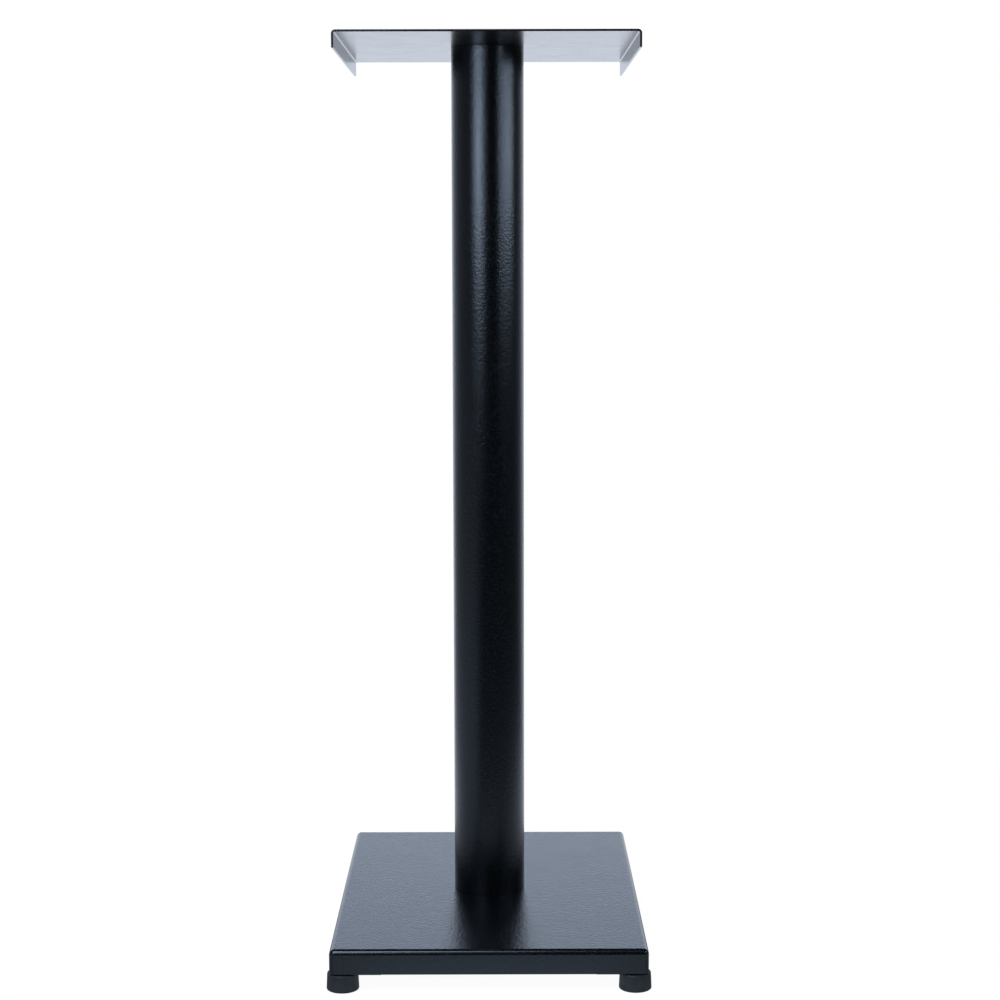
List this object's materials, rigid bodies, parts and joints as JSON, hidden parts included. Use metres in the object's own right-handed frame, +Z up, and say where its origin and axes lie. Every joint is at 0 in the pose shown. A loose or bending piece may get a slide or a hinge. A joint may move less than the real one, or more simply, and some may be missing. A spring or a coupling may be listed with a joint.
{
  "type": "speaker stand",
  "caption": "Fixed-height speaker stand: folded steel top plate and base tray on a round column, with rubber feet, in satin black.",
  "frame": {"origin": "on the floor, under the axis of the column, midway between the feet", "axes": "+Z up along the column; +X to the right of a viewer in front of the stand; the front is -Y. The top plate's turned-down sides are at -X and +X."},
  "size_m": [0.3002, 0.3962, 0.872],
  "materials": {
    "black_powder_coat": "satin powder coat with a fine orange peel",
    "black_rubber": "matt moulded rubber",
    "zinc_plated_steel": "bright zinc plate, slightly clouded",
    "black_oxide_steel": "black oxide, oiled",
    "bare_steel": "sawn and turned steel, unpainted, out of sight"
  },
  "bodies": {
    "root": {"top_plate": "black_powder_coat", "top_plate_screws": "black_oxide_steel", "column_tube": "black_powder_coat", "column_top_disc": "bare_steel", "column_bottom_disc": "bare_steel", "base_tray": "black_powder_coat", "base_doubler_plate": "black_powder_coat", "base_bolts": "zinc_plated_steel", "base_spring_washers": "zinc_plated_steel", "base_flat_washers": "zinc_plated_steel", "foot_washers": "zinc_plated_steel", "foot_screws": "zinc_plated_steel", "foot_weld_nuts": "black_powder_coat", "corner_gusset_front_left": "black_powder_coat", "foot_front_left": "black_rubber", "corner_gusset_front_right": "black_powder_coat", "foot_front_right": "black_rubber", "corner_gusset_rear_right": "black_powder_coat", "foot_rear_right": "black_rubber", "corner_gusset_rear_left": "black_powder_coat", "foot_rear_left": "black_rubber"}
  },
  "joints": []
}
